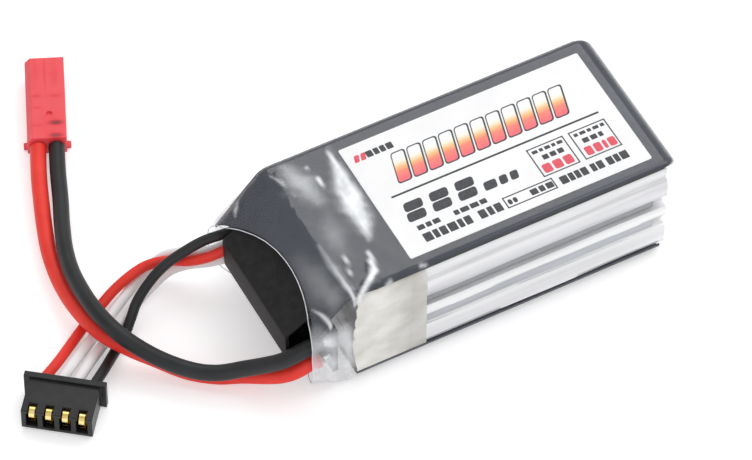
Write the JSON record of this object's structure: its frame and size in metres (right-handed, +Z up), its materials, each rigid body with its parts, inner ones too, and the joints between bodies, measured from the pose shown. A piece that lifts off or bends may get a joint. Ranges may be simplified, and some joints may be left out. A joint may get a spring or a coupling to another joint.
{
  "type": "lithium polymer battery pack",
  "caption": "Flat-sided multi-cell pouch battery pack in clear shrink film, with power leads to a latched two-way plug and balance leads to a small flanged plug.",
  "frame": {"origin": "centre of the wrapped pack's footprint, on its lower broad face", "axes": "+X along the pack from the lead end to the closed rear end, +Y across it, +Z up out of the labelled face"},
  "size_m": [0.1026, 0.0755, 0.021],
  "materials": {
    "sleeve": "clear glossy shrink film",
    "card": "dark satin card",
    "label": "printed white label, satin",
    "tape": "cream fibre tape",
    "laminate": "silver pouch laminate",
    "adhesive": "double-sided sheet",
    "aluminium_tab": "bare",
    "nickel_tab": "nickel plated",
    "board": "bare board",
    "solder": "bright solder",
    "fibre": "matte black fibre sheet",
    "black_silicone": "matte silicone",
    "red_silicone": "matte silicone",
    "white_silicone": "matte silicone",
    "red_plastic": "translucent red moulding",
    "black_plastic": "black moulding",
    "tin": "tin plated",
    "gold": "gold plated"
  },
  "bodies": {
    "pack": {"shrink_sleeve": "sleeve", "top_card": "card", "bottom_card": "card", "label": "label", "fibre_tape": "tape", "cell_bottom": "laminate", "cell_middle": "laminate", "cell_top": "laminate", "adhesive_lower": "adhesive", "adhesive_upper": "adhesive", "tab_bottom_plus": "aluminium_tab", "tab_middle_plus": "aluminium_tab", "tab_top_plus": "aluminium_tab", "tab_bottom_minus": "nickel_tab", "tab_middle_minus": "nickel_tab", "tab_top_minus": "nickel_tab", "terminal_board": "board", "main_solder_black": "solder", "main_solder_red": "solder", "balance_solder_black": "solder", "balance_solder_white_a": "solder", "balance_solder_white_b": "solder", "balance_solder_red": "solder", "end_pad": "fibre", "main_lead_black": "black_silicone", "main_lead_red": "red_silicone", "balance_lead_black": "black_silicone", "balance_lead_white_a": "white_silicone", "balance_lead_white_b": "white_silicone", "balance_lead_red": "red_silicone", "power_plug_housing": "red_plastic", "power_contact_red": "tin", "power_contact_black": "tin", "balance_plug_housing": "black_plastic", "balance_contact_1": "gold", "balance_contact_2": "gold", "balance_contact_3": "gold", "balance_contact_4": "gold"},
    "latch_arm": {"power_plug_latch": "red_plastic"}
  },
  "joints": [
    {"name": "latch_press", "type": "hinge", "parent": "pack", "child": "latch_arm", "pos_m": [-0.03948, 0.05615, 0.00063], "axis": [-0.9121, 0.4099, 0], "range_deg": [0, 2], "stiffness_Nm_per_rad": 0.05}
  ]
}
